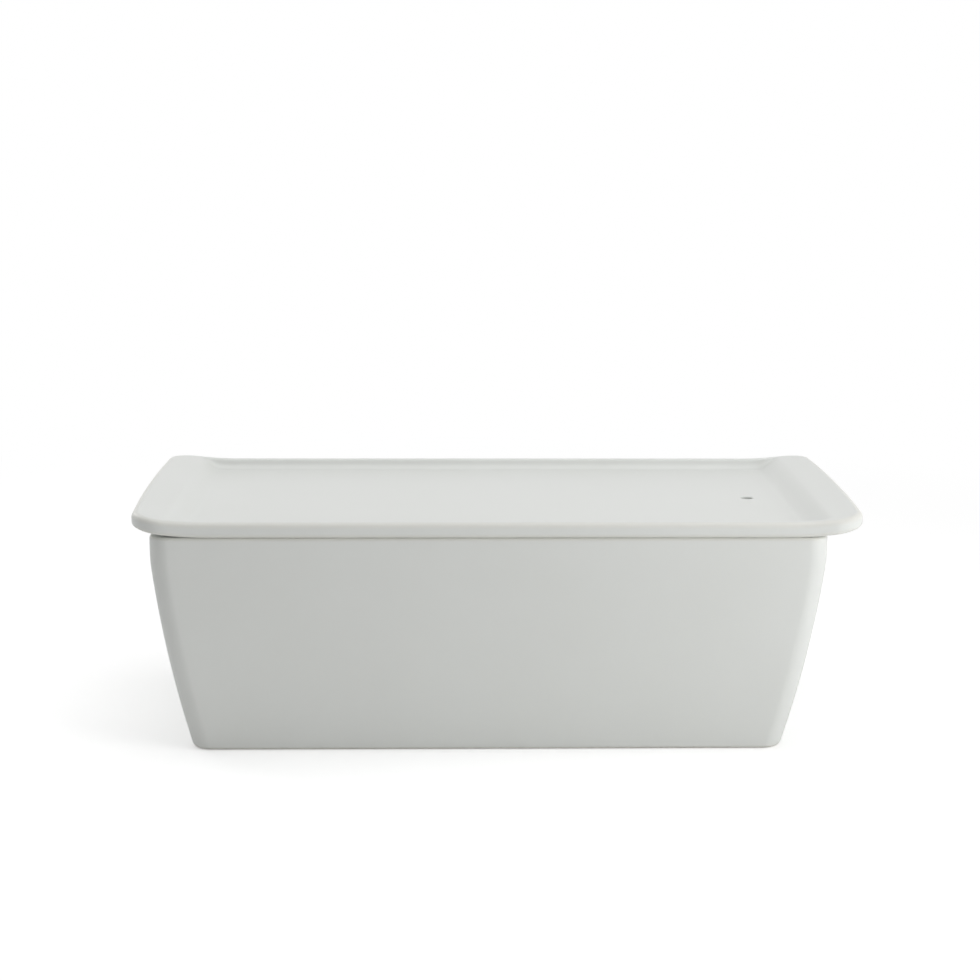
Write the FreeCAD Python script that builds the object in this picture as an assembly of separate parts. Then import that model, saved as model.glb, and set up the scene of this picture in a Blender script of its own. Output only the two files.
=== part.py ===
import FreeCAD, Part
import math
import os
from FreeCAD import Vector

# Lidded loaf-shaped serving dish in glazed white porcelain: an open container on a
# low foot, and a loose tray-shaped lid with a lug at each end and a steam vent.
# Millimetres. +X runs along the dish, -Y is the front, +Z is up. The table is z = 0,
# and x = y = 0 is the middle of the lid, which is the longest and widest piece.

# ---- container: driving dimensions ----
RIM_LENGTH = 220.0          # outside, along X, at the rim
RIM_WIDTH = 113.6           # outside, along Y, at the rim
BODY_HEIGHT = 75.0          # table to rim
WALL = 4.2
FLOOR = 5.5                 # floor thickness over the foot ring
RIM_BAND = 5.5              # height of the upright band under the rim
BAND_BLEND_R = 60.0         # arc that turns the band into the belly
LEAN_TOP = 6.1              # degrees off upright where the belly starts
LEAN_FOOT = 13.6            # degrees off upright at the foot
CORNER_R = 7.0              # outside corner in plan
INNER_CORNER_R = 9.0        # inside corner in plan
COVE_R = 7.5                # inside, floor to wall
FOOT_EDGE_R = 2.0           # outside, wall to foot
RIM_OUTER_R = 1.2
RIM_INNER_R = 1.2
FOOT_RING = 5.0             # width of the flat ring that stands on the table
FOOT_RECESS = 1.5           # depth of the panel inside the ring
FOOT_RECESS_R = 1.2

# ---- lid: driving dimensions ----
LUG_OVERHANG = 10.0         # lid past the rim at each end, when centred
SIDE_OVERHANG = 0.7         # lid past the rim at the front and back
LID_THICKNESS = 5.0         # seat to rim top
LID_CORNER_R = 10.7         # plan corners
END_BOW = 1.5               # how far the end edges swell outwards
LUG_RUN = 26.0              # length over which each lug sweeps upwards
LUG_LIFT = 2.7              # rise of the lug at its tip
TRAY_DEPTH = 3.5            # rim top to tray floor
TRAY_RIM = 2.8              # lid edge to the top of the tray's side wall
TRAY_WALL_RUN = 4.4         # plan width of the tray's side wall with its cove
TRAY_EDGE_R = 1.0           # rounding where the side wall meets the rim
RAMP_OUTER = 10.8           # lid end to the top of the ramp
RAMP_RUN = 9.5              # plan length of the ramp with its blends
TRAY_BRIM = 0.07            # clearance of the hollowing surface outside the tray
TRAY_KNOTS = 10             # spline spans over each ramp and each side wall
TOP_EDGE_R = 2.0
BOTTOM_EDGE_R = 1.5
STEP_DROP = 2.5             # locating step under the lid, into the container
STEP_EDGE_R = 1.6
STEP_CORNER_EASE = 1.0      # step's plan corners are rounder than the mouth's by this
STEP_SIDE_GAP = 1.3         # step to container wall, each long side
STEP_END_GAP = 3.3          # step to container wall, each end, when centred
STEP_END_GAP_LEFT = 0.35    # what is left of that gap at the end it has slid to
VENT_D = 4.2
VENT_EDGE_R = 0.5           # rounding where the vent opens into the tray
VENT_TO_END = 31.8          # vent centre to the lid's end

# ---- sizes and places that follow from them ----
LID_LENGTH = RIM_LENGTH + 2 * LUG_OVERHANG
LID_WIDTH = RIM_WIDTH + 2 * SIDE_OVERHANG
STEP_CORNER_R = INNER_CORNER_R + STEP_CORNER_EASE
CONTAINER_X = -(STEP_END_GAP - STEP_END_GAP_LEFT)
TOP_LEAN = math.radians(LEAN_TOP)
FOOT_LEAN = math.radians(LEAN_FOOT)
BLEND_DROP = RIM_BAND + BAND_BLEND_R * math.sin(TOP_LEAN)
BELLY_R = (BODY_HEIGHT - BLEND_DROP) / (math.sin(FOOT_LEAN) - math.sin(TOP_LEAN))
FOOT_INSET = (BAND_BLEND_R * (1.0 - math.cos(TOP_LEAN))
              + BELLY_R * (math.cos(TOP_LEAN) - math.cos(FOOT_LEAN)))
LUG_ARC_R = (LUG_RUN * LUG_RUN + LUG_LIFT * LUG_LIFT) / (2.0 * LUG_LIFT)
TRAY_LEAN = 2.0 * math.atan(TRAY_DEPTH / TRAY_WALL_RUN)
TRAY_COVE_R = TRAY_DEPTH / (1.0 - math.cos(TRAY_LEAN)) - TRAY_EDGE_R

# ---- modelling allowances ----
PIERCE = 5.0                # how far a cutting tool runs past the face it cuts
LEVEL = 0.01                # heights closer than this are the same height


def rounded_rectangle(half_x, half_y, radius, z):
    """Wire of four lines and four quarter arcs, centred on the Z axis."""
    plane = Part.makePlane(2 * half_x, 2 * half_y, Vector(-half_x, -half_y, z))
    prism = plane.extrude(Vector(0, 0, PIERCE))
    prism = prism.makeFillet(radius, climbing_edges(prism))
    return Part.Wire(Part.__sortEdges__(edges_at_height(prism, z)))


def edges_at_height(shape, z):
    """Edges that lie wholly in the plane at this height."""
    found = []
    for edge in shape.Edges:
        box = edge.BoundBox
        if abs(box.ZMin - z) < LEVEL and abs(box.ZMax - z) < LEVEL:
            found.append(edge)
    return found


def climbing_edges(shape):
    """Every edge that is not level."""
    return [edge for edge in shape.Edges if edge.BoundBox.ZLength > LEVEL]


def arc_on(centre, radius, start, end):
    """Arc in the profile plane between two angles below the horizontal."""
    points = []
    for angle in (start, (start + end) / 2.0, end):
        x = centre.x + radius * math.cos(angle)
        points.append(Vector(x, 0, centre.z - radius * math.sin(angle)))
    return Part.Arc(*points).toShape()


def wall_profile(half, offset, z_low, z_high):
    """Closed section of the container: upright band, small arc, belly arc.

    The arcs are tangent to each other. The offset draws the parallel profile
    inside the wall.
    """
    band_centre = Vector(half - BAND_BLEND_R, 0, BODY_HEIGHT - RIM_BAND)
    reach = BAND_BLEND_R - BELLY_R
    belly_centre = band_centre + Vector(reach * math.cos(TOP_LEAN), 0, -reach * math.sin(TOP_LEAN))
    belly_r = BELLY_R - offset
    low_lean = math.asin((belly_centre.z - z_low) / belly_r)
    upright = Part.makeLine(Vector(half - offset, 0, z_high), Vector(half - offset, 0, band_centre.z))
    blend = arc_on(band_centre, BAND_BLEND_R - offset, 0.0, TOP_LEAN)
    belly = arc_on(belly_centre, belly_r, TOP_LEAN, low_lean)
    right = [upright, blend, belly]
    left = [edge.mirror(Vector(), Vector(1, 0, 0)) for edge in right]
    foot_x = belly.Vertexes[-1].X
    top = Part.makeLine(Vector(half - offset, 0, z_high), Vector(offset - half, 0, z_high))
    foot = Part.makeLine(Vector(foot_x, 0, z_low), Vector(-foot_x, 0, z_low))
    return Part.Wire(Part.__sortEdges__(right + left + [top, foot]))


def belly_block(offset, z_low, z_high, corner_r):
    """Two crossed prisms of the wall profile, with rounded upright corners."""
    span = RIM_LENGTH + RIM_WIDTH
    along = Part.Face(wall_profile(RIM_LENGTH / 2, offset, z_low, z_high))
    along = along.extrude(Vector(0, span, 0))
    along.translate(Vector(0, -span / 2, 0))
    across = Part.Face(wall_profile(RIM_WIDTH / 2, offset, z_low, z_high))
    across = across.extrude(Vector(0, span, 0))
    across.translate(Vector(0, -span / 2, 0))
    across.rotate(Vector(), Vector(0, 0, 1), 90)
    block = along.common(across)
    return block.makeFillet(corner_r, climbing_edges(block))


def inside_mouth(edge):
    """True for an edge on the inner side of the rim's flat top."""
    centre = edge.BoundBox.Center
    limit_x = RIM_LENGTH / 2 - (WALL + RIM_OUTER_R) / 2
    limit_y = RIM_WIDTH / 2 - (WALL + RIM_OUTER_R) / 2
    return abs(centre.x) < limit_x and abs(centre.y) < limit_y


def make_container():
    outside = belly_block(0.0, 0.0, BODY_HEIGHT, CORNER_R)
    outside = outside.makeFillet(RIM_OUTER_R, edges_at_height(outside, BODY_HEIGHT))
    outside = outside.makeFillet(FOOT_EDGE_R, edges_at_height(outside, 0.0))
    hollow = belly_block(WALL, FLOOR, BODY_HEIGHT + PIERCE, INNER_CORNER_R)
    hollow = hollow.makeFillet(COVE_R, edges_at_height(hollow, FLOOR))
    body = outside.cut(hollow)
    mouth = [e for e in edges_at_height(body, BODY_HEIGHT) if inside_mouth(e)]
    body = body.makeFillet(RIM_INNER_R, mouth)
    ring = FOOT_INSET + FOOT_EDGE_R + FOOT_RING
    panel_wire = rounded_rectangle(RIM_LENGTH / 2 - ring, RIM_WIDTH / 2 - ring, CORNER_R, -PIERCE)
    panel = Part.Face(panel_wire).extrude(Vector(0, 0, PIERCE + FOOT_RECESS))
    panel = panel.makeFillet(FOOT_RECESS_R, edges_at_height(panel, FOOT_RECESS))
    body = body.cut(panel)
    body.translate(Vector(CONTAINER_X, 0, 0))
    return body


def smooth_step(t):
    """0 below t = 0, 1 above t = 1, and level at both ends."""
    t = min(max(t, 0.0), 1.0)
    return t * t * t * (10.0 - 15.0 * t + 6.0 * t * t)


def tray_wall_rise(run):
    """Rise of the tray's side wall over the floor: a wide cove, then a rounded edge."""
    run = min(max(run, 0.0), TRAY_WALL_RUN)
    if run < TRAY_COVE_R * math.sin(TRAY_LEAN):
        return TRAY_COVE_R - math.sqrt(TRAY_COVE_R * TRAY_COVE_R - run * run)
    back = TRAY_WALL_RUN - run
    return TRAY_DEPTH - TRAY_EDGE_R + math.sqrt(TRAY_EDGE_R * TRAY_EDGE_R - back * back)


def lug_lift(x):
    """Rise of the lid's plate at x: level, then a circular arc over each lug."""
    beyond = max(abs(x) - (LID_LENGTH / 2 - LUG_RUN), 0.0)
    return LUG_ARC_R - math.sqrt(LUG_ARC_R * LUG_ARC_R - beyond * beyond)


def lid_plate():
    """Plate of even thickness with upswept ends, cut to the plan outline."""
    flat = LID_LENGTH / 2 - LUG_RUN
    reach = LID_LENGTH / 2 + PIERCE
    middle = (flat + reach) / 2
    y = -LID_WIDTH / 2 - PIERCE
    edges = []
    for height in (0.0, LID_THICKNESS):
        edges.append(Part.makeLine(Vector(-flat, y, height), Vector(flat, y, height)))
        for side in (1, -1):
            arc = [Vector(side * x, y, height + lug_lift(x)) for x in (flat, middle, reach)]
            edges.append(Part.Arc(*arc).toShape())
    tip = lug_lift(reach)
    for side in (1, -1):
        foot = Vector(side * reach, y, tip)
        edges.append(Part.makeLine(foot, foot + Vector(0, 0, LID_THICKNESS)))
    section = Part.Face(Part.Wire(Part.__sortEdges__(edges)))
    plate = section.extrude(Vector(0, LID_WIDTH + 2 * PIERCE, 0)).common(lid_outline())
    plate = plate.makeFillet(TOP_EDGE_R, band_edges(plate, LID_THICKNESS))
    return plate.makeFillet(BOTTOM_EDGE_R, band_edges(plate, 0.0))


def lid_outline():
    """Upright prism over the lid's plan: straight sides, bowed ends, round corners."""
    half_x = LID_LENGTH / 2
    half_y = LID_WIDTH / 2
    corner_x = half_x - END_BOW
    edges = []
    for side in (1, -1):
        start = Vector(side * corner_x, -side * half_y, -PIERCE)
        swell = Vector(side * half_x, 0, -PIERCE)
        end = Vector(side * corner_x, side * half_y, -PIERCE)
        edges.append(Part.Arc(start, swell, end).toShape())
        edges.append(Part.makeLine(end, Vector(-side * corner_x, side * half_y, -PIERCE)))
    prism = Part.Face(Part.Wire(edges)).extrude(Vector(0, 0, LID_THICKNESS + LUG_LIFT + 2 * PIERCE))
    return prism.makeFillet(LID_CORNER_R, climbing_edges(prism))


def band_edges(plate, height):
    """Loop of edges round the plate's upper or lower face, at a height over the seat."""
    found = []
    for edge in plate.Edges:
        ends = (edge.FirstParameter, edge.LastParameter, (edge.FirstParameter + edge.LastParameter) / 2)
        gaps = []
        for parameter in ends:
            point = edge.valueAt(parameter)
            gaps.append(abs(point.z - height - lug_lift(point.x)))
        point = edge.valueAt(ends[-1])
        on_side = abs(point.y) > LID_WIDTH / 2 - LID_CORNER_R
        on_end = abs(point.x) > LID_LENGTH / 2 - LID_CORNER_R
        if max(gaps) < LEVEL and (on_side or on_end):
            found.append(edge)
    return found


def tray_height(x, y):
    """Height over the seat of the surface that hollows out the tray.

    The product of the ramps along the lid and the walls across it runs the
    floor and the corners into each other. Outside the tray the surface clears
    the plate's top by TRAY_BRIM.
    """
    ramp = 1.0 - smooth_step((abs(x) - (LID_LENGTH / 2 - RAMP_OUTER - RAMP_RUN)) / RAMP_RUN)
    wall = 1.0 - tray_wall_rise(abs(y) - (LID_WIDTH / 2 - TRAY_RIM - TRAY_WALL_RUN)) / TRAY_DEPTH
    brim = LID_THICKNESS + lug_lift(x) + TRAY_BRIM
    return brim - (TRAY_DEPTH + TRAY_BRIM) * ramp * wall


def tray_knots(half, outer, run):
    """Spline knots across the lid, close together over the ramps or walls."""
    pitch = run / TRAY_KNOTS
    start = half - outer - run
    positive = [start - 3 * pitch, start - pitch]
    positive += [start + pitch * step for step in range(TRAY_KNOTS + 1)]
    positive += [half - outer + pitch, half, half + PIERCE]
    return [-knot for knot in reversed(positive)] + [0.0] + positive


def spline_abscissae(knots):
    """Where each control point of the clamped cubic stands."""
    full = [knots[0]] * 3 + knots + [knots[-1]] * 3
    return [sum(full[i + 1:i + 4]) / 3.0 for i in range(len(full) - 4)]


def tray_tool():
    """Everything above one bicubic spline surface that dips into the tray."""
    x_knots = tray_knots(LID_LENGTH / 2, RAMP_OUTER, RAMP_RUN)
    y_knots = tray_knots(LID_WIDTH / 2, TRAY_RIM, TRAY_WALL_RUN)
    poles = []
    for x in spline_abscissae(x_knots):
        poles.append([Vector(x, y, tray_height(x, y)) for y in spline_abscissae(y_knots)])
    x_mults = [4] + [1] * (len(x_knots) - 2) + [4]
    y_mults = [4] + [1] * (len(y_knots) - 2) + [4]
    surface = Part.BSplineSurface()
    surface.buildFromPolesMultsKnots(poles, x_mults, y_mults, x_knots, y_knots, False, False, 3, 3)
    return surface.toShape().extrude(Vector(0, 0, LID_THICKNESS + LUG_LIFT + PIERCE))


def vent_tool(floor):
    """Round bore whose mouth flares over a small arc where it opens at the floor.

    The arc is lifted by TRAY_BRIM, so that it crosses the floor at an angle.
    """
    bore = VENT_D / 2
    flare = bore + VENT_EDGE_R
    centre = Vector(flare, 0, floor - VENT_EDGE_R + TRAY_BRIM)
    top = centre.z + VENT_EDGE_R + PIERCE
    arc = arc_on(centre, VENT_EDGE_R, -math.pi, -math.pi / 2)
    corners = [Vector(flare, 0, floor + TRAY_BRIM), Vector(flare, 0, top), Vector(0, 0, top),
               Vector(0, 0, -PIERCE), Vector(bore, 0, -PIERCE), Vector(bore, 0, centre.z)]
    lines = [Part.makeLine(a, b) for a, b in zip(corners, corners[1:])]
    profile = Part.Face(Part.Wire(Part.__sortEdges__(lines + [arc])))
    return profile.revolve(Vector(), Vector(0, 0, 1), 360)


def make_lid():
    plate = lid_plate()
    step_x = RIM_LENGTH / 2 - WALL - STEP_END_GAP
    step_y = RIM_WIDTH / 2 - WALL - STEP_SIDE_GAP
    step_wire = rounded_rectangle(step_x, step_y, STEP_CORNER_R, -STEP_DROP)
    floor = LID_THICKNESS - TRAY_DEPTH
    step = Part.Face(step_wire).extrude(Vector(0, 0, STEP_DROP + floor / 2))
    step = step.makeFillet(STEP_EDGE_R, edges_at_height(step, -STEP_DROP))
    lid = plate.fuse(step).removeSplitter()
    lid = lid.cut(tray_tool())
    vent = vent_tool(floor)
    vent.translate(Vector(LID_LENGTH / 2 - VENT_TO_END, 0, 0))
    lid = lid.cut(vent)
    lid.translate(Vector(0, 0, BODY_HEIGHT))
    return lid


def single_solid(shape):
    """The one solid of a shape that should hold exactly one."""
    solids = shape.Solids
    if len(solids) != 1 or not shape.isValid():
        raise RuntimeError("expected one valid solid, found %d" % len(solids))
    return solids[0]


os.makedirs("parts", exist_ok=True)
for name, make in (("container", make_container), ("lid", make_lid)):
    solid = single_solid(make())
    solid.exportStep("parts/" + name + ".step")
    box = solid.BoundBox
    print("%s: %.1f x %.1f x %.1f mm, z %.2f to %.2f, %.1f cm3" % (
        name, box.XLength, box.YLength, box.ZLength, box.ZMin, box.ZMax, solid.Volume / 1000))
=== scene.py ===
import math

import bpy
import numpy as np
from bpy.props import FloatProperty, PointerProperty, StringProperty
from mathutils import Matrix, Vector


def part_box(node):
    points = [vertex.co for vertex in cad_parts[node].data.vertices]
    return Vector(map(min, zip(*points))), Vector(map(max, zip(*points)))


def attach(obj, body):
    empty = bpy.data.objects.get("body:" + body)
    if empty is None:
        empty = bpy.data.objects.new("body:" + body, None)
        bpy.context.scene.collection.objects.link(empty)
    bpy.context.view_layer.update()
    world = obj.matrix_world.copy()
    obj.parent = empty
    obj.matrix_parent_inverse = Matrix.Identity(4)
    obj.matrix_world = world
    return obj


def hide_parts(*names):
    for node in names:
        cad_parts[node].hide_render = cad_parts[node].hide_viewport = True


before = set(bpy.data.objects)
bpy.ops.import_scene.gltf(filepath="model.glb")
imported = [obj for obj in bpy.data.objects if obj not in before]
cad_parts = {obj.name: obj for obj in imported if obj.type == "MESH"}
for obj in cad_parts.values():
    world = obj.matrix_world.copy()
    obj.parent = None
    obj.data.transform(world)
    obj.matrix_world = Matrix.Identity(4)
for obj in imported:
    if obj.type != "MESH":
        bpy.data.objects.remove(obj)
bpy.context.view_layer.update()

bl_info = {
    "name": "Lidded porcelain dish",
    "version": (1, 0, 0),
    "blender": (4, 5, 0),
    "location": "View3D > Sidebar > Dish",
    "description": "Loaf-shaped container and tray-shaped lid in glazed white porcelain",
    "category": "Add Mesh",
}

MM = 0.001
DEGREE = math.pi / 180.0
QUARTER = math.pi / 2.0
WHITE = (1.0, 1.0, 1.0, 1.0)

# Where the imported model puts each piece.
CONTAINER_LOW, CONTAINER_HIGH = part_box("container")
LID_LOW, LID_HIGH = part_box("lid")
DISH_MIDDLE = Vector((0.0, 0.0, 0.05))

# Mesh fineness.
GUARD = 0.12 * MM       # distance of the row that holds a flat's shading beside a rounding
CORNER_CELLS = 10       # cells over half of a plan corner
EDGE_STEPS = 8          # steps over a small rounding
VENT_CELLS = 12         # cells across the square that the vent is set in
VENT_SQUARE = 4.0 * MM  # half the side of that square
BELLY_STEPS = 24        # steps up the container's long belly arc
BLEND_STEPS = 6         # steps over the arc between belly and band
BAND_STEPS = 3          # rows on the upright band
TRAY_STEPS = 46         # steps from the tray's rim to the grid on its floor
BRIM_STEPS = 4          # steps across the lid's brim
SIDE_STEPS = 5          # steps up the lid's upright side
UNDERSIDE_STEPS = 10    # steps across the lid's underside, outside the locating step
STEP_STEPS = 4          # steps across the locating step's underside, and up its wall
PANEL_STEPS = 4         # steps across the container's panel, outside its grid
FOOT_STEPS = 6          # steps across the foot ring
FLOOR_STEPS = 5         # steps across the inner floor, outside its grid
VENT_STEPS = 5          # steps from the vent to the square round it
VENT_BAY = 14.0 * MM    # the tray's finer grid lines start this far before the vent
RAMP_MARGIN = 1.2 * MM  # the tray's grid stops this far short of the ramps
WALL_MARGIN = 4.3 * MM  # and this far short of the side walls
GRID_CORNER = 5.0 * MM  # reach of its corners
COVE_SHARE = 0.7        # reach of the container's grid corners, as a share of the cove
APART = 1e-3 * MM       # points nearer than this are one

# Finish.
GLAZE_IOR = 1.52        # feldspar glaze
BARE_ROUGHNESS = 0.75   # unglazed porcelain

# Camera: where it stands, above the container's rim, and how it is turned, in radians.
CAMERA_PLACE = (-0.02112, -0.69196, 0.14476)
CAMERA_PITCH, CAMERA_YAW, CAMERA_ROLL = 0.2003, 0.0282, 0.0056
SENSOR_WIDTH = 36.0     # millimetres
TABLETOP_HALF = 3.0     # metres from the dish to the tabletop's edge


# ---------------------------------------------------------------- properties

def length(name, description, millimetres):
    """A size in metres, shown as a length."""
    return FloatProperty(name=name, description=description, default=millimetres * MM,
                         min=0.0, precision=5, unit="LENGTH")


def colour_text(name, description, value):
    """An sRGB colour as a hex string."""
    return StringProperty(name=name, description=description, default=value, maxlen=7)


class ContainerSizes(bpy.types.PropertyGroup):
    """Sizes of the container that its box doesn't give."""
    wall: length("Wall", "Thickness of the wall", 4.2)
    floor: length("Floor", "Height of the inner floor above the table", 5.5)
    rim_band: length("Rim band", "Height of the upright band under the rim", 5.5)
    band_blend: length("Band blend", "Radius of the arc that turns the band into the belly", 60.0)
    corner: length("Outer corner", "Outside corner radius in plan", 7.0)
    inner_corner: length("Inner corner", "Inside corner radius in plan", 9.0)
    cove: length("Cove", "Radius between the inner floor and the wall", 7.5)
    foot_edge: length("Foot edge", "Radius between the wall and the foot", 2.0)
    rim_edge: length("Rim edge", "Radius of both edges of the rim", 1.2)
    foot_ring: length("Foot ring", "Width of the flat ring that stands on the table", 5.0)
    foot_recess: length("Foot recess", "Depth of the panel inside the foot ring", 1.5)
    recess_edge: length("Recess edge", "Radius in the corner of that panel", 1.2)
    lean_top: FloatProperty(name="Top lean", description="Lean of the belly where it starts",
                            default=6.1 * DEGREE, subtype="ANGLE", unit="ROTATION")
    lean_foot: FloatProperty(name="Foot lean", description="Lean of the belly at the table",
                             default=13.6 * DEGREE, subtype="ANGLE", unit="ROTATION")


class LidSizes(bpy.types.PropertyGroup):
    """Sizes of the lid that its box doesn't give."""
    thickness: length("Thickness", "Seat to the top of the rim", 5.0)
    corner: length("Corner", "Corner radius in plan", 10.7)
    end_bow: length("End bow", "How far the end edges swell outwards", 1.5)
    lug_run: length("Lug run", "Length over which each lug sweeps upwards", 26.0)
    lug_lift: length("Lug lift", "Rise of the lug at its tip", 2.68)
    tray_depth: length("Tray depth", "Rim top to tray floor", 3.5)
    tray_rim: length("Tray rim", "Lid edge to the top of the tray's side wall", 2.8)
    tray_wall: length("Tray wall", "Plan width of the tray's side wall", 4.4)
    tray_edge: length("Tray edge", "Radius where that wall meets the rim", 1.0)
    ramp_outer: length("Ramp start", "Lid end to the top of the ramp", 10.8)
    ramp_run: length("Ramp run", "Plan length of the ramp", 9.5)
    top_edge: length("Top edge", "Radius of the lid's upper edge", 2.0)
    bottom_edge: length("Bottom edge", "Radius of the lid's lower edge", 1.5)
    step_edge: length("Step edge", "Radius of the locating step's lower edge", 1.6)
    step_length: length("Step length", "Length of the locating step", 205.0)
    step_width: length("Step width", "Width of the locating step", 102.6)
    step_corner: length("Step corner", "Plan corner radius of the locating step", 10.0)
    vent: length("Vent", "Bore of the steam vent", 4.2)
    vent_edge: length("Vent edge", "Radius where the vent opens into the tray", 0.5)
    vent_to_end: length("Vent to end", "Vent centre to the lid's end", 31.8)


class GlazeLook(bpy.types.PropertyGroup):
    """Colours of the porcelain and its glaze."""
    glaze: colour_text("Glaze", "Colour of the glaze where it lies thick", "#E6E8E5")
    glaze_shade: colour_text("Glaze shade", "Colour in the faint cloudy patches", "#E2E4E0")
    thin_edge: colour_text("Thin edge", "Colour where the glaze runs thin", "#E2E2DC")
    bisque: colour_text("Bisque", "Unglazed porcelain of the foot ring", "#DCD8CE")
    speck: colour_text("Speck", "Colour of the rare specks under the glaze", "#A9A294")
    roughness: FloatProperty(name="Roughness", description="Roughness of the fired glaze",
                             default=0.35, min=0.0, max=1.0, subtype="FACTOR")


class StageLook(bpy.types.PropertyGroup):
    """Floor, world light, lamps and lens."""
    floor: colour_text("Floor", "Colour of the floor", "#F6F6F6")
    floor_lift: FloatProperty(name="Floor lift",
                              description="White added to the floor for the camera only",
                              default=0.36, min=0.0, max=1.0)
    world: FloatProperty(name="World light", description="Strength of the even light all round",
                         default=0.30, min=0.0)
    overhead: FloatProperty(name="Overhead lamp", description="Power of the soft lamp overhead",
                            default=3.60, min=0.0, unit="POWER")
    behind: FloatProperty(name="Rear lamp",
                          description="Power of the soft lamp behind, on the left",
                          default=1.98, min=0.0, unit="POWER")
    right: FloatProperty(name="Right lamp",
                         description="Power of the near lamp in front, on the right",
                         default=1.25, min=0.0, unit="POWER")
    lens: FloatProperty(name="Lens", description="Focal length in millimetres",
                        default=74.55, min=1.0)


# ---------------------------------------------------------------- plan grids and shells

def mirrored_lines(*spans):
    """Grid lines on both sides of zero. Each span (end, cells) goes on from the last."""
    half = [np.zeros(1)]
    start = 0.0
    for end, cells in spans:
        half.append(np.linspace(start, end, cells + 1)[1:])
        start = end
    half = np.concatenate(half)
    return np.concatenate([-half[:0:-1], half])


def border(grid):
    """The outer nodes of a grid, anticlockwise from its first corner."""
    return np.concatenate([grid[:-1, 0], grid[-1, :-1], grid[:0:-1, -1], grid[0, :0:-1]])


class Plan:
    """Plan grid over a rectangle, and the rings that go round it.

    The last CORNER_CELLS lines at each side of the rectangle belong to its corners. A
    ring has one point for each border node of the grid. Its point is
    (a (half_x - r) + r cos t, b (half_y - r) + r sin t), where a and b run from -1 to 1
    over the straight sides and stay there over the corners, and the angle t stands still
    over the straight sides and turns through a right angle over each corner.
    """

    def __init__(self, lines_x, lines_y):
        self.x, self.y = np.meshgrid(lines_x, lines_y, indexing="ij")
        along_x, turn_x = self.along_and_turn(lines_x)
        along_y, turn_y = self.along_and_turn(lines_y)
        self.a = border(np.broadcast_to(along_x[:, None], self.x.shape))
        self.b = border(np.broadcast_to(along_y[None, :], self.x.shape))
        front = -QUARTER + turn_x[:-1]
        right = turn_y[:-1]
        back = QUARTER - turn_x[:0:-1]
        left = 2.0 * QUARTER - turn_y[:0:-1]
        self.angle = np.concatenate([front, right, back, left])
        self.rectangle = np.stack([border(self.x), border(self.y)], -1)

    @staticmethod
    def along_and_turn(lines):
        """Fraction along a straight side, and turn into the corner, of each line."""
        last = len(lines) - 1
        along = np.clip(lines / lines[last - CORNER_CELLS], -1.0, 1.0)
        index = np.arange(last + 1)
        past = np.maximum(index - (last - CORNER_CELLS), 0) - np.maximum(CORNER_CELLS - index, 0)
        return along, past / CORNER_CELLS * math.pi / 4.0

    def ring(self, half_x, half_y, radius):
        """Rounded rectangles, one for each row of the three arrays: shape (rows, points, 2)."""
        half_x, half_y, radius = np.broadcast_arrays(*map(as_rows, (half_x, half_y, radius)))
        x = self.a * (half_x - radius) + radius * np.cos(self.angle)
        y = self.b * (half_y - radius) + radius * np.sin(self.angle)
        return np.stack([x, y], -1)


def as_rows(value):
    """One row for each entry of a list of numbers; a table of rows stays as it is."""
    value = np.atleast_1d(value)
    return value[:, None] if value.ndim == 1 else value


def strip_faces(rows):
    """Quads between neighbouring rows of vertex numbers; each row closes on itself."""
    here, after = rows[:-1], rows[1:]
    quads = [here, np.roll(here, -1, 1), np.roll(after, -1, 1), after]
    return np.stack(quads, -1).reshape(-1, 4)


def grid_faces(numbers, hole=None):
    """Upward quads of a grid of vertex numbers, without the cells of the hole."""
    quads = np.stack([numbers[:-1, :-1], numbers[1:, :-1], numbers[1:, 1:], numbers[:-1, 1:]], -1)
    keep = np.ones(quads.shape[:2], bool)
    if hole is not None:
        keep[hole[0], hole[1]] = False
    return quads[keep]


def with_heights(plan_points, heights):
    """Adds heights to plan points."""
    heights = np.broadcast_to(heights, plan_points.shape[:-1])
    return np.concatenate([plan_points, heights[..., None]], -1)


def between(first, last, steps):
    """Rows that go in a straight line from one ring to another, both ends left out."""
    t = np.linspace(0.0, 1.0, steps + 1)[1:-1, None, None]
    return first + (last - first) * t


def arc(centre, radius, start, end, steps):
    """Section points on a circle; angles are anticlockwise from the outward direction."""
    angle = np.linspace(start, end, steps + 1)
    return np.stack([centre[0] + radius * np.cos(angle), centre[1] + radius * np.sin(angle)], -1)


def without_repeats(section):
    """The rows of a section whose plan point isn't that of the row before."""
    apart = np.linalg.norm(np.diff(section[:, :2], axis=0), axis=1) > APART
    return section[np.concatenate([[True], apart])]


def run(first, last, steps):
    """Section points on a line, with a row a GUARD's distance inside each end."""
    first, last = np.array(first), np.array(last)
    guard = min(GUARD / max(np.linalg.norm(last - first), GUARD), 0.25)
    t = np.concatenate([[0.0], np.linspace(guard, 1.0 - guard, steps), [1.0]])
    return first + (last - first) * t[:, None]


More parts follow.
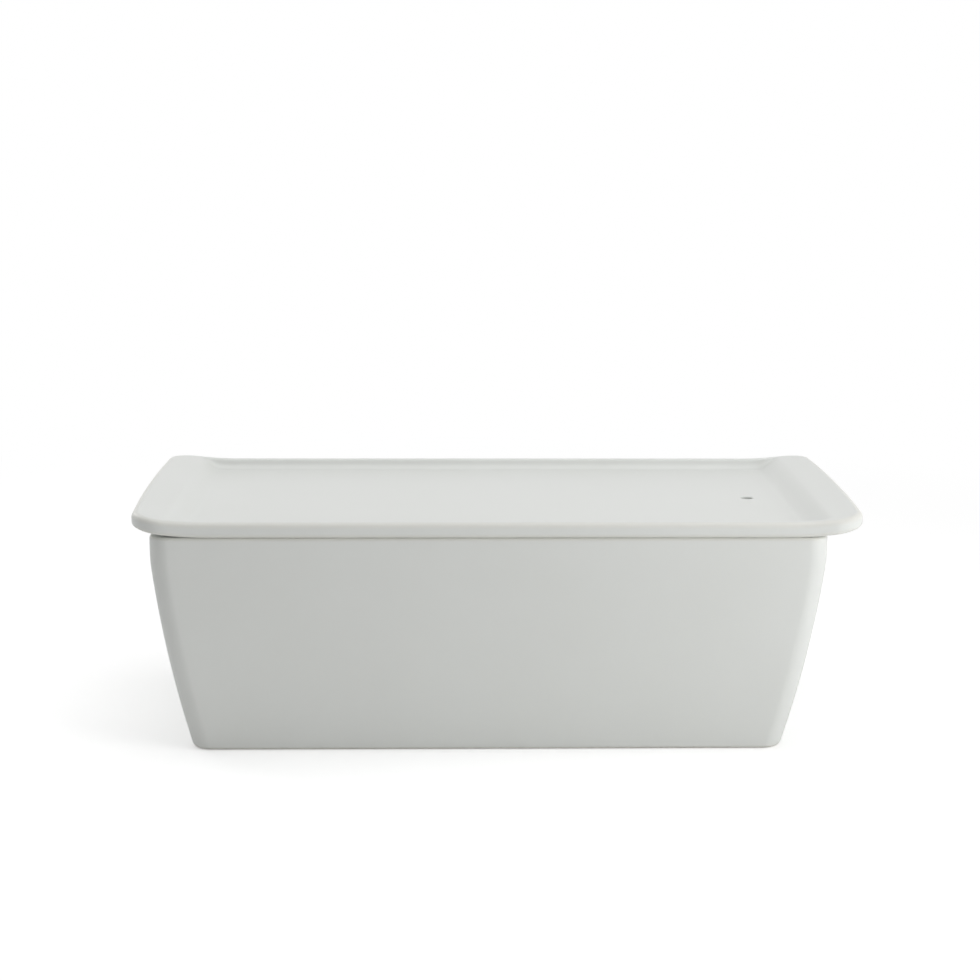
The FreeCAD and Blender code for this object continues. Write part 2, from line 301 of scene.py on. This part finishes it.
class Shell:
    """A closed mesh gathered from blocks of vertices and quads."""

    def __init__(self):
        self.points = []
        self.quads = []
        self.thin = []
        self.count = 0

    def add(self, points, thin=0.0):
        """Adds a block of vertices and gives their numbers. thin marks thin glaze."""
        shape = points.shape[:-1]
        size = int(np.prod(shape))
        numbers = np.arange(self.count, self.count + size).reshape(shape)
        self.points.append(points.reshape(-1, 3))
        self.thin.append(np.broadcast_to(thin, shape).reshape(-1))
        self.count += size
        return numbers

    def faces(self, quads):
        self.quads.append(quads.reshape(-1, 4))

    def make(self, name, material):
        """The finished object at the origin, smooth, with the glaze's thinness on it."""
        points = np.concatenate(self.points)
        quads = np.concatenate(self.quads)
        old = bpy.data.objects.get(name)
        if old is not None:
            bpy.data.objects.remove(old)
        mesh = bpy.data.meshes.new(name)
        mesh.from_pydata(points.tolist(), [], quads.tolist())
        mesh.shade_smooth()
        thin = mesh.attributes.new("thin_glaze", "FLOAT", "POINT")
        thin.data.foreach_set("value", np.concatenate(self.thin).astype(np.float32))
        mesh.materials.append(material)
        mesh.validate()
        piece = bpy.data.objects.new(name, mesh)
        bpy.context.scene.collection.objects.link(piece)
        return piece


# ---------------------------------------------------------------- container

def container_section(sizes, height):
    """Section of the container from the foot ring up the outside and down the inside.

    Rows of (out, height, plan corner radius, thinness of the glaze), where out is
    measured outwards from the rim's outline. The wall is an upright band, an arc tangent
    to it, and the belly's long arc tangent to that; the inside is the same drawn one wall
    thickness in. Roundings are quarter circles, or less where the wall leans, and over
    them the corner radius follows the offset, so that they are parallel curves.
    """
    lean_top, lean_foot = sizes.lean_top, sizes.lean_foot
    blend, wall = sizes.band_blend, sizes.wall
    blend_drop = sizes.rim_band + blend * math.sin(lean_top)
    belly = (height - blend_drop) / (math.sin(lean_foot) - math.sin(lean_top))
    band_centre = np.array([-blend, height - sizes.rim_band])
    reach = np.array([math.cos(lean_top), -math.sin(lean_top)])
    belly_centre = band_centre + (blend - belly) * reach

    def rounding_in_belly(radius, offset, floor):
        """Circle that touches the floor and, from inside, the belly drawn in by offset."""
        distance = belly - offset - radius
        lean = math.asin((belly_centre[1] - floor - radius) / distance)
        return np.array([belly_centre[0] + distance * math.cos(lean), floor + radius]), lean

    def rows(points, radius, thin=0.0):
        """Adds the plan corner radius and the thinness to section points."""
        radius = np.broadcast_to(radius, len(points))
        thin = np.broadcast_to(thin, len(points))
        return np.concatenate([points, radius[:, None], thin[:, None]], -1)

    def edge_rows(points, radius, tangent_out):
        """Rows over a convex rounding, parallel to the outline at tangent_out."""
        bulge = np.sin(np.linspace(0.0, math.pi, len(points)))
        return rows(points, radius + points[:, 0] - tangent_out, bulge)

    foot_centre, foot_lean = rounding_in_belly(sizes.foot_edge, 0.0, 0.0)
    cove_centre, cove_lean = rounding_in_belly(sizes.cove, wall, sizes.floor)
    rim = sizes.rim_edge
    foot = arc(foot_centre, sizes.foot_edge, -QUARTER, -foot_lean, EDGE_STEPS)
    outer_rim = arc((-rim, height - rim), rim, 0.0, QUARTER, EDGE_STEPS)
    inner_rim = arc((rim - wall, height - rim), rim, QUARTER, 2.0 * QUARTER, EDGE_STEPS)
    cove = arc(cove_centre, sizes.cove, -cove_lean, -QUARTER, 2 * EDGE_STEPS)
    band_foot = height - sizes.rim_band
    outside = [
        edge_rows(foot, sizes.corner, foot[-1, 0]),
        rows(arc(belly_centre, belly, -foot_lean, -lean_top, BELLY_STEPS), sizes.corner),
        rows(arc(band_centre, blend, -lean_top, 0.0, BLEND_STEPS), sizes.corner),
        rows(run((0.0, band_foot), (0.0, height - rim), BAND_STEPS), sizes.corner),
        edge_rows(outer_rim, sizes.corner, 0.0),
    ]
    inside = [
        edge_rows(inner_rim, sizes.inner_corner, -wall),
        rows(run((-wall, height - rim), (-wall, band_foot), BAND_STEPS), sizes.inner_corner),
        rows(arc(band_centre, blend - wall, 0.0, -lean_top, BLEND_STEPS), sizes.inner_corner),
        rows(arc(belly_centre, belly - wall, -lean_top, -cove_lean, BELLY_STEPS),
             sizes.inner_corner),
        rows(cove, sizes.inner_corner + cove[:, 0] - cove[0, 0]),
    ]
    return without_repeats(np.concatenate(outside + inside))


def build_container(sizes, material):
    """The container: one closed shell from the underside panel to the inner floor."""
    low, high = CONTAINER_LOW, CONTAINER_HIGH
    half_x, half_y = (high.x - low.x) / 2.0, (high.y - low.y) / 2.0
    middle = np.array([(high.x + low.x) / 2.0, (high.y + low.y) / 2.0, 0.0])
    height = high.z
    section = container_section(sizes, height)
    edge_out, edge_height = section[-1, :2]
    grid_x = half_x + edge_out - sizes.foot_edge
    grid_y = half_y + edge_out - sizes.foot_edge
    corner = sizes.cove * COVE_SHARE
    lines_x = mirrored_lines((grid_x - 4 * corner, 14), (grid_x - corner, 12),
                             (grid_x, CORNER_CELLS))
    lines_y = mirrored_lines((grid_y - 2 * corner, 6), (grid_y - corner, 4),
                             (grid_y, CORNER_CELLS))
    plan = Plan(lines_x, lines_y)
    shell = Shell()
    walls = with_heights(plan.ring(half_x + section[:, 0], half_y + section[:, 0], section[:, 2]),
                         section[:, 1, None])

    # Underside: the panel, its rounded inner corner and its wall down to the foot ring.
    ring_edge = section[0, 0] - sizes.foot_ring
    recess, round_r = sizes.foot_recess, sizes.recess_edge
    lip = 0.3 * MM
    panel_round = arc((ring_edge - round_r, recess - round_r), round_r, QUARTER, 0.0, EDGE_STEPS)
    lip_round = arc((ring_edge + lip, lip), lip, 2.0 * QUARTER, 3.0 * QUARTER, EDGE_STEPS // 2)
    under = without_repeats(np.concatenate([panel_round, lip_round]))
    under_r = sizes.corner + under[:, 0] - ring_edge
    under_rings = with_heights(plan.ring(half_x + under[:, 0], half_y + under[:, 0], under_r),
                               under[:, 1, None])
    floor_grid = np.stack([plan.x, plan.y], -1)
    rectangle_low = with_heights(plan.rectangle, recess)
    rectangle_high = with_heights(plan.rectangle, edge_height)

    numbers_low = shell.add(with_heights(floor_grid, recess) + middle)
    numbers_high = shell.add(with_heights(floor_grid, edge_height) + middle)
    rows = [border(numbers_low)[None]]
    rows.append(shell.add(between(rectangle_low, under_rings[0], PANEL_STEPS) + middle))
    rows.append(shell.add(under_rings + middle))
    rows.append(shell.add(between(under_rings[-1], walls[0], FOOT_STEPS) + middle))
    rows.append(shell.add(walls + middle, section[:, 3, None]))
    rows.append(shell.add(between(walls[-1], rectangle_high, FLOOR_STEPS) + middle))
    rows.append(border(numbers_high)[None])
    shell.faces(strip_faces(np.concatenate(rows)))
    shell.faces(grid_faces(numbers_low)[:, ::-1])
    shell.faces(grid_faces(numbers_high))
    return shell.make("porcelain_container", material)


# ---------------------------------------------------------------- lid

def smooth_step(t):
    """0 below t = 0 and 1 above t = 1: 10 t^3 - 15 t^4 + 6 t^5, level at both ends."""
    t = np.clip(t, 0.0, 1.0)
    return t * t * t * (10.0 - 15.0 * t + 6.0 * t * t)


def build_lid(sizes, material):
    """The lid: one closed shell, pierced by the vent.

    The plate's plan is a rounded rectangle whose ends swell by end_bow (1 - (y/half_y)^2).
    Every height on the plate is lifted over each lug by the rise of one circular arc.
    The tray is the brim less tray_depth times a smooth step along the lid times the side
    walls' share across it: a wide cove and a small rounding, tangent to each other. The
    locating step below is a rounded rectangle with a rounded edge.
    """
    half_x = (LID_HIGH.x - LID_LOW.x) / 2.0
    half_y = (LID_HIGH.y - LID_LOW.y) / 2.0
    seat = CONTAINER_HIGH.z
    step_floor = LID_LOW.z
    step_x, step_y = sizes.step_length / 2.0, sizes.step_width / 2.0
    lug_radius = (sizes.lug_run ** 2 + sizes.lug_lift ** 2) / (2.0 * sizes.lug_lift)

    def lug(x):
        beyond = np.maximum(np.abs(x) - (half_x - sizes.lug_run), 0.0)
        return lug_radius - np.sqrt(lug_radius ** 2 - beyond ** 2)

    wall_lean = 2.0 * math.atan(sizes.tray_depth / sizes.tray_wall)
    edge_r = sizes.tray_edge
    cove_r = sizes.tray_depth / (1.0 - math.cos(wall_lean)) - edge_r

    def wall_rise(into):
        """Rise of the side wall, this far into its plan width from the floor."""
        into = np.clip(into, 0.0, sizes.tray_wall)
        in_cove = np.minimum(into, cove_r)
        in_edge = np.minimum(sizes.tray_wall - into, edge_r)
        cove = cove_r - np.sqrt(cove_r ** 2 - in_cove ** 2)
        edge = sizes.tray_depth - edge_r + np.sqrt(edge_r ** 2 - in_edge ** 2)
        return np.where(into < cove_r * math.sin(wall_lean), cove, edge)

    ramp_foot = half_x - sizes.ramp_outer - sizes.ramp_run
    wall_foot = half_y - sizes.tray_rim - sizes.tray_wall

    def tray(points):
        """Height of the lid's upper side at plan points inside the top edge."""
        x, y = points[..., 0], points[..., 1]
        ramp = 1.0 - smooth_step((np.abs(x) - ramp_foot) / sizes.ramp_run)
        wall = 1.0 - wall_rise(np.abs(y) - wall_foot) / sizes.tray_depth
        return seat + sizes.thickness + lug(x) - sizes.tray_depth * ramp * wall

    vent_x = half_x - sizes.vent_to_end
    grid_x = ramp_foot - RAMP_MARGIN
    grid_y = wall_foot - WALL_MARGIN
    corner_y = grid_y - GRID_CORNER
    plan = Plan(mirrored_lines((vent_x - VENT_BAY, 25), (vent_x - VENT_SQUARE, 10),
                               (vent_x + VENT_SQUARE, VENT_CELLS), (grid_x, CORNER_CELLS)),
                mirrored_lines((VENT_SQUARE, VENT_CELLS // 2), (corner_y - GRID_CORNER, 10),
                               (corner_y, 5), (grid_y, CORNER_CELLS)))

    def plate_rings(inset):
        """Rings parallel to the lid's outline, with the bowed ends."""
        inset = as_rows(inset)
        rings = plan.ring(half_x - inset, half_y - inset, sizes.corner - inset)
        x, y = rings[..., 0], rings[..., 1]
        bowed = x - (x / half_x) * sizes.end_bow * (y / half_y) ** 2
        return np.stack([bowed, y], -1)

    low_r, top_r, step_r = sizes.bottom_edge, sizes.top_edge, sizes.step_edge

    def edge_rings(radius, level, side, steps):
        """Rings over a rounded edge, from the upright side onto the upper or lower face.

        The face leans outwards by the angle whose tangent is the lug's slope times the
        outward direction's share of x. The circle touches the upright side and the face,
        so its arc turns through a quarter plus or less that lean.
        """
        outward = np.cos(plan.angle)
        slope = np.zeros(len(outward))
        for _ in range(3):      # three rounds settle the touching point
            lean = np.arctan(slope)
            touch = plate_rings((radius * (1.0 + side * np.sin(lean)))[None])[0]
            beyond = np.maximum(np.abs(touch[:, 0]) - (half_x - sizes.lug_run), 0.0)
            slope = np.abs(outward) * beyond / np.sqrt(lug_radius ** 2 - beyond ** 2)
        centre = level + lug(touch[:, 0]) - side * radius * np.cos(lean)
        turn = np.linspace(0.0, 1.0, steps + 1)[:, None] * (side * QUARTER + lean)
        rings = plate_rings(radius * (1.0 - np.cos(turn)))
        return with_heights(rings, centre + radius * np.sin(turn))

    # Locating step: its rounded lower edge, then its wall up to the plate.
    edge = arc((step_r, step_floor + step_r), step_r, -QUARTER, 0.0, EDGE_STEPS)
    inset = 2.0 * step_r - edge[:, 0]
    step_rings = with_heights(
        plan.ring(step_x - inset, step_y - inset, sizes.step_corner - inset), edge[:, 1, None])
    step_top = plan.ring(step_x, step_y, sizes.step_corner)[0]
    step_top = with_heights(step_top, seat + lug(step_top[:, 0]))

    # Plate: underside, lower edge, side and upper edge.
    low_rings = edge_rings(low_r, seat, -1.0, EDGE_STEPS)[::-1]
    top_rings = edge_rings(top_r, seat + sizes.thickness, 1.0, EDGE_STEPS + 4)
    side_rings = between(low_rings[-1], top_rings[0], SIDE_STEPS)
    underside = between(step_top[:, :2], low_rings[0, :, :2], UNDERSIDE_STEPS)
    underside = with_heights(underside, seat + lug(underside[..., 0]))

    # Brim and tray down to the grid on the tray's floor.
    tray_edge = plate_rings(sizes.tray_rim)
    brim = between(top_rings[-1, :, :2], tray_edge[0], BRIM_STEPS)
    brim = np.concatenate([brim, tray_edge])
    brim = with_heights(brim, tray(brim))
    slope = between(brim[-1, :, :2], plan.rectangle, TRAY_STEPS)
    slope = with_heights(slope, tray(slope))

    grid = np.stack([plan.x, plan.y], -1)
    shell = Shell()
    numbers_low = shell.add(with_heights(grid, step_floor))
    numbers_top = shell.add(with_heights(grid, tray(grid)))
    rectangle_low = with_heights(plan.rectangle, step_floor)
    bulge = np.sin(np.linspace(0.0, math.pi, len(top_rings)))[:, None]
    low_bulge = np.sin(np.linspace(0.0, math.pi, len(low_rings)))[:, None]
    rows = [border(numbers_low)[None]]
    rows.append(shell.add(between(rectangle_low, step_rings[0], STEP_STEPS)))
    rows.append(shell.add(step_rings))
    rows.append(shell.add(between(step_rings[-1], step_top, STEP_STEPS)))
    rows.append(shell.add(step_top[None]))
    rows.append(shell.add(underside))
    rows.append(shell.add(low_rings, low_bulge))
    rows.append(shell.add(side_rings))
    rows.append(shell.add(top_rings, bulge))
    rows.append(shell.add(brim))
    rows.append(shell.add(slope))
    rows.append(border(numbers_top)[None])
    shell.faces(strip_faces(np.concatenate(rows)))

    # Vent: a square of cells left out of both grids, and rings from one to the other.
    columns = np.searchsorted(plan.x[:, 0],
                              [vent_x - VENT_SQUARE - GUARD, vent_x + VENT_SQUARE - GUARD])
    lines = np.searchsorted(plan.y[0], [-VENT_SQUARE - GUARD, VENT_SQUARE - GUARD])
    hole = (slice(*columns), slice(*lines))
    shell.faces(grid_faces(numbers_low, hole)[:, ::-1])
    shell.faces(grid_faces(numbers_top, hole))
    nodes = (slice(columns[0], columns[1] + 1), slice(lines[0], lines[1] + 1))
    square = np.stack([border(plan.x[nodes]), border(plan.y[nodes])], -1)
    from_vent = square - np.array([vent_x, 0.0])
    angle = np.arctan2(from_vent[:, 1], from_vent[:, 0])
    direction = np.stack([np.cos(angle), np.sin(angle)], -1)
    bore, lip = sizes.vent / 2.0, sizes.vent_edge
    floor_top = float(tray(np.array([vent_x, 0.0])))
    mouth = arc((bore + lip, floor_top - lip), lip, QUARTER, 2.0 * QUARTER, EDGE_STEPS)
    foot = arc((bore + lip / 2, step_floor + lip / 2), lip / 2,
               2.0 * QUARTER, 3.0 * QUARTER, EDGE_STEPS)
    tube = run(mouth[-1], foot[0], 3)[1:-1]
    flare = np.concatenate([mouth, tube, foot])
    vent_rings = np.array([vent_x, 0.0]) + flare[:, 0, None, None] * direction
    vent_rings = with_heights(vent_rings, flare[:, 1, None])
    square_top = with_heights(square, floor_top)
    square_low = with_heights(square, step_floor)
    rows = [border(numbers_top[nodes])[None]]
    rows.append(shell.add(between(square_top, vent_rings[0], VENT_STEPS)))
    rows.append(shell.add(vent_rings))
    rows.append(shell.add(between(vent_rings[-1], square_low, VENT_STEPS)))
    rows.append(border(numbers_low[nodes])[None])
    shell.faces(strip_faces(np.concatenate(rows)))
    return shell.make("porcelain_lid", material)


# ---------------------------------------------------------------- materials

def linear(hex_colour):
    """An sRGB hex colour as linear RGBA."""
    values = []
    for start in (1, 3, 5):
        value = int(hex_colour[start:start + 2], 16) / 255.0
        values.append(value / 12.92 if value <= 0.04045 else ((value + 0.055) / 1.055) ** 2.4)
    return (*values, 1.0)


def node(tree, kind, settings=None, inputs=None):
    """Adds a node, sets its properties and its inputs, and links the inputs that are sockets."""
    made = tree.nodes.new(kind)
    for name, value in (settings or {}).items():
        setattr(made, name, value)
    for name, value in (inputs or {}).items():
        socket = made.inputs[name]
        if isinstance(value, bpy.types.NodeSocket):
            tree.links.new(value, socket)
        else:
            socket.default_value = value
    return made


def new_material(name):
    """An empty node material of this name, remade if it is there already."""
    old = bpy.data.materials.get(name)
    if old is not None:
        bpy.data.materials.remove(old)
    material = bpy.data.materials.new(name)
    material.use_nodes = True
    material.node_tree.nodes.clear()
    return material


def glazed_porcelain(name, look, foot_ring):
    """Slip-cast white porcelain under a clear, dipped satin glaze.

    To the eye: an even cool white with very faint clouds, a soft sheen whose blurred
    reflections wander a little because the glaze lies in long shallow waves with a fine
    orange peel on them, a slightly creamier tone where the glaze ran thin over the
    edges, and a rare speck. The foot ring is wiped bare before firing, so it is matt.
    """
    material = new_material(name)
    tree = material.node_tree
    place = node(tree, "ShaderNodeTexCoord").outputs["Object"]

    # Clouds about 45 mm across, thin glaze on the edges, and specks 0.5 mm wide.
    clouds = node(tree, "ShaderNodeTexNoise", None,
                  {"Vector": place, "Scale": 1.0 / (45.0 * MM), "Detail": 2.0, "Roughness": 0.5})
    body = node(tree, "ShaderNodeMix", {"data_type": "RGBA"},
                {"Factor": clouds.outputs["Fac"],
                 "A": linear(look.glaze), "B": linear(look.glaze_shade)})
    thin = node(tree, "ShaderNodeAttribute", {"attribute_name": "thin_glaze"})
    edges = node(tree, "ShaderNodeMix", {"data_type": "RGBA"},
                 {"Factor": thin.outputs["Fac"],
                  "A": body.outputs["Result"], "B": linear(look.thin_edge)})
    spacing = 16.0     # millimetres from speck to speck
    cells = node(tree, "ShaderNodeTexVoronoi", {"feature": "F1"},
                 {"Vector": place, "Scale": 1.0 / (spacing * MM), "Randomness": 1.0})
    speck = node(tree, "ShaderNodeMapRange", {"interpolation_type": "SMOOTHSTEP"},
                 {"Value": cells.outputs["Distance"],
                  "From Min": 0.25 / spacing, "From Max": 0.1 / spacing,
                  "To Min": 0.0, "To Max": 0.5})
    glaze = node(tree, "ShaderNodeMix", {"data_type": "RGBA"},
                 {"Factor": speck.outputs["Result"],
                  "A": edges.outputs["Result"], "B": linear(look.speck)})

    # Glaze waves 22 mm long and 0.02 mm high, and orange peel 1.6 mm wide.
    waves = node(tree, "ShaderNodeTexNoise", None,
                 {"Vector": place, "Scale": 1.0 / (22.0 * MM), "Detail": 1.0, "Roughness": 0.4})
    peel = node(tree, "ShaderNodeTexNoise", None,
                {"Vector": place, "Scale": 1.0 / (1.6 * MM), "Detail": 1.0, "Roughness": 0.5})
    wavy = node(tree, "ShaderNodeBump", None,
                {"Height": waves.outputs["Fac"], "Distance": 0.02 * MM, "Strength": 1.0})
    peeled = node(tree, "ShaderNodeBump", None,
                  {"Height": peel.outputs["Fac"], "Distance": 0.0006 * MM, "Strength": 1.0,
                   "Normal": wavy.outputs["Normal"]})
    colour, roughness, normal = glaze.outputs["Result"], look.roughness, peeled.outputs["Normal"]

    if foot_ring:
        # Bare porcelain on the foot ring, up to a wiped line about 0.4 mm above the table.
        split = node(tree, "ShaderNodeSeparateXYZ", None, {"Vector": place})
        wiped = node(tree, "ShaderNodeTexNoise", None, {"Vector": place, "Scale": 1.0 / (6.0 * MM)})
        line = node(tree, "ShaderNodeMath", {"operation": "MULTIPLY_ADD"},
                    {0: wiped.outputs["Fac"], 1: -0.5 * MM, 2: split.outputs["Z"]})
        bare = node(tree, "ShaderNodeMapRange", {"interpolation_type": "SMOOTHSTEP"},
                    {"Value": line.outputs["Value"], "From Min": 0.25 * MM, "From Max": 0.1 * MM})
        grain = node(tree, "ShaderNodeTexNoise", None,
                     {"Vector": place, "Scale": 1.0 / (0.3 * MM), "Detail": 3.0})
        grainy = node(tree, "ShaderNodeBump", None,
                      {"Height": grain.outputs["Fac"], "Distance": 0.02 * MM,
                       "Strength": bare.outputs["Result"], "Normal": normal})
        body_or_bare = node(tree, "ShaderNodeMix", {"data_type": "RGBA"},
                            {"Factor": bare.outputs["Result"],
                             "A": colour, "B": linear(look.bisque)})
        matt = node(tree, "ShaderNodeMapRange", None,
                    {"Value": bare.outputs["Result"],
                     "To Min": look.roughness, "To Max": BARE_ROUGHNESS})
        colour, roughness = body_or_bare.outputs["Result"], matt.outputs["Result"]
        normal = grainy.outputs["Normal"]

    surface = node(tree, "ShaderNodeBsdfPrincipled", None,
                   {"Base Color": colour, "Roughness": roughness, "IOR": GLAZE_IOR,
                    "Normal": normal})
    node(tree, "ShaderNodeOutputMaterial", None, {"Surface": surface.outputs["BSDF"]})
    return material


def camera_or_mirror_ray(tree):
    """1 for rays from the camera, or seen in a reflection or through something clear."""
    path = node(tree, "ShaderNodeLightPath")
    first = node(tree, "ShaderNodeMath", {"operation": "MAXIMUM"},
                 {0: path.outputs["Is Camera Ray"], 1: path.outputs["Is Glossy Ray"]})
    either = node(tree, "ShaderNodeMath", {"operation": "MAXIMUM"},
                  {0: first.outputs["Value"], 1: path.outputs["Is Transmission Ray"]})
    return either.outputs["Value"]


def floor_material(look):
    """Matt white tabletop that keeps the dish's shadow and runs into a white backdrop."""
    material = new_material("matt_white_tabletop")
    tree = material.node_tree
    place = node(tree, "ShaderNodeTexCoord").outputs["Object"]
    far = node(tree, "ShaderNodeVectorMath", {"operation": "LENGTH"}, {0: place})
    fade = node(tree, "ShaderNodeMapRange", {"interpolation_type": "SMOOTHSTEP"},
                {"Value": far.outputs["Value"], "From Min": 0.2, "From Max": 0.55})
    white = node(tree, "ShaderNodeMath", {"operation": "MULTIPLY"},
                 {0: fade.outputs["Result"], 1: camera_or_mirror_ray(tree)})
    matt = node(tree, "ShaderNodeBsdfDiffuse", None, {"Color": linear(look.floor)})
    seen = node(tree, "ShaderNodeLightPath").outputs["Is Camera Ray"]
    lift = node(tree, "ShaderNodeMath", {"operation": "MULTIPLY"}, {0: seen, 1: look.floor_lift})
    lifted = node(tree, "ShaderNodeEmission", None, {"Strength": lift.outputs["Value"]})
    near = node(tree, "ShaderNodeAddShader", None,
                {0: matt.outputs["BSDF"], 1: lifted.outputs["Emission"]})
    glow = node(tree, "ShaderNodeEmission", None, {"Color": WHITE, "Strength": 1.0})
    mixed = node(tree, "ShaderNodeMixShader", None,
                 {0: white.outputs["Value"],
                  1: near.outputs["Shader"], 2: glow.outputs["Emission"]})
    node(tree, "ShaderNodeOutputMaterial", None, {"Surface": mixed.outputs["Shader"]})
    return material


# ---------------------------------------------------------------- stage

def add_lamp(name, place, size, power, mirrored=True):
    """A soft, white, square lamp that points at the dish, mirrored in its glaze or not."""
    data = bpy.data.lights.new(name, "AREA")
    data.shape = "SQUARE"
    data.size = size
    data.energy = power
    lamp = bpy.data.objects.new(name, data)
    bpy.context.scene.collection.objects.link(lamp)
    lamp.location = place
    lamp.visible_glossy = mirrored
    lamp.rotation_euler = (DISH_MIDDLE - Vector(place)).to_track_quat("-Z", "Y").to_euler()


def add_camera(lens):
    """Camera in front of the dish, a little to its left and looking down on it."""
    pitch, yaw, roll = CAMERA_PITCH, CAMERA_YAW, CAMERA_ROLL
    forward = Vector((math.sin(yaw) * math.cos(pitch), math.cos(yaw) * math.cos(pitch),
                      -math.sin(pitch)))
    level = Vector((math.cos(yaw), -math.sin(yaw), 0.0))
    upright = level.cross(forward)
    right = level * math.cos(roll) + upright * math.sin(roll)
    up = upright * math.cos(roll) - level * math.sin(roll)
    data = bpy.data.cameras.new("camera")
    data.lens = lens
    data.sensor_width = SENSOR_WIDTH
    camera = bpy.data.objects.new("camera", data)
    bpy.context.scene.collection.objects.link(camera)
    turn = Matrix((right, up, -forward)).transposed().to_4x4()
    x, y, above_rim = CAMERA_PLACE
    camera.matrix_world = Matrix.Translation((x, y, CONTAINER_HIGH.z + above_rim)) @ turn
    bpy.context.scene.camera = camera


def light_world(look):
    """Even light all round, seen as white by the camera and in reflections."""
    world = bpy.data.worlds.new("studio")
    world.use_nodes = True
    tree = world.node_tree
    tree.nodes.clear()
    light = node(tree, "ShaderNodeBackground", None, {"Color": WHITE, "Strength": look.world})
    white = node(tree, "ShaderNodeBackground", None, {"Color": WHITE, "Strength": 1.0})
    mixed = node(tree, "ShaderNodeMixShader", None,
                 {0: camera_or_mirror_ray(tree),
                  1: light.outputs["Background"], 2: white.outputs["Background"]})
    node(tree, "ShaderNodeOutputWorld", None, {"Surface": mixed.outputs["Shader"]})
    bpy.context.scene.world = world


# ---------------------------------------------------------------- operators

class DISH_OT_container(bpy.types.Operator):
    """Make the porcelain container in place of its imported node"""
    bl_idname = "dish.container"
    bl_label = "Container"

    def execute(self, context):
        scene = context.scene
        glaze = glazed_porcelain("glazed_porcelain_container", scene.dish_glaze, True)
        piece = build_container(scene.dish_container, glaze)
        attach(piece, "root")
        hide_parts("container")
        return {"FINISHED"}


class DISH_OT_lid(bpy.types.Operator):
    """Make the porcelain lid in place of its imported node"""
    bl_idname = "dish.lid"
    bl_label = "Lid"

    def execute(self, context):
        scene = context.scene
        glaze = glazed_porcelain("glazed_porcelain_lid", scene.dish_glaze, False)
        piece = build_lid(scene.dish_lid, glaze)
        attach(piece, "root")
        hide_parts("lid")
        return {"FINISHED"}


class DISH_OT_stage(bpy.types.Operator):
    """Make the floor, the lamps, the world and the camera"""
    bl_idname = "dish.stage"
    bl_label = "Stage"

    def execute(self, context):
        look = context.scene.dish_stage
        half = TABLETOP_HALF
        corners = [(-half, -half, 0.0), (half, -half, 0.0), (half, half, 0.0), (-half, half, 0.0)]
        mesh = bpy.data.meshes.new("tabletop")
        mesh.from_pydata(corners, [], [(0, 1, 2, 3)])
        mesh.materials.append(floor_material(look))
        floor = bpy.data.objects.new("tabletop", mesh)
        context.scene.collection.objects.link(floor)
        add_lamp("overhead_lamp", (0.0, 0.0, 1.0), 0.8, look.overhead)
        add_lamp("rear_lamp", (-0.70, 0.60, 0.60), 0.6, look.behind)
        # The right lamp is near and low, and its mirror image would white out the tray.
        add_lamp("right_lamp", (0.45, -0.30, 0.20), 0.3, look.right, mirrored=False)
        light_world(look)
        add_camera(look.lens)
        context.scene.view_settings.view_transform = "Standard"
        return {"FINISHED"}


class DISH_PT_panel(bpy.types.Panel):
    """Lists what can be made"""
    bl_idname = "DISH_PT_panel"
    bl_label = "Porcelain dish"
    bl_space_type = "VIEW_3D"
    bl_region_type = "UI"
    bl_category = "Dish"

    def draw(self, context):
        for operator, group in PARTS:
            box = self.layout.box()
            box.operator(operator.bl_idname)
            settings = getattr(context.scene, group)
            for name in settings.bl_rna.properties.keys():
                if name not in ("name", "rna_type"):
                    box.prop(settings, name)
        box = self.layout.box()
        for name in ("glaze", "glaze_shade", "thin_edge", "bisque", "speck", "roughness"):
            box.prop(context.scene.dish_glaze, name)


PARTS = ((DISH_OT_container, "dish_container"), (DISH_OT_lid, "dish_lid"),
         (DISH_OT_stage, "dish_stage"))
GROUPS = (("dish_container", ContainerSizes), ("dish_lid", LidSizes),
          ("dish_glaze", GlazeLook), ("dish_stage", StageLook))
CLASSES = (ContainerSizes, LidSizes, GlazeLook, StageLook,
           DISH_OT_container, DISH_OT_lid, DISH_OT_stage, DISH_PT_panel)


def register():
    for item in CLASSES:
        bpy.utils.register_class(item)
    for name, group in GROUPS:
        setattr(bpy.types.Scene, name, PointerProperty(type=group))


def unregister():
    for name, _ in GROUPS:
        delattr(bpy.types.Scene, name)
    for item in reversed(CLASSES):
        bpy.utils.unregister_class(item)


def main():
    register()
    bpy.ops.dish.container()
    bpy.ops.dish.lid()
    bpy.ops.dish.stage()


if __name__ == "__main__":
    main()
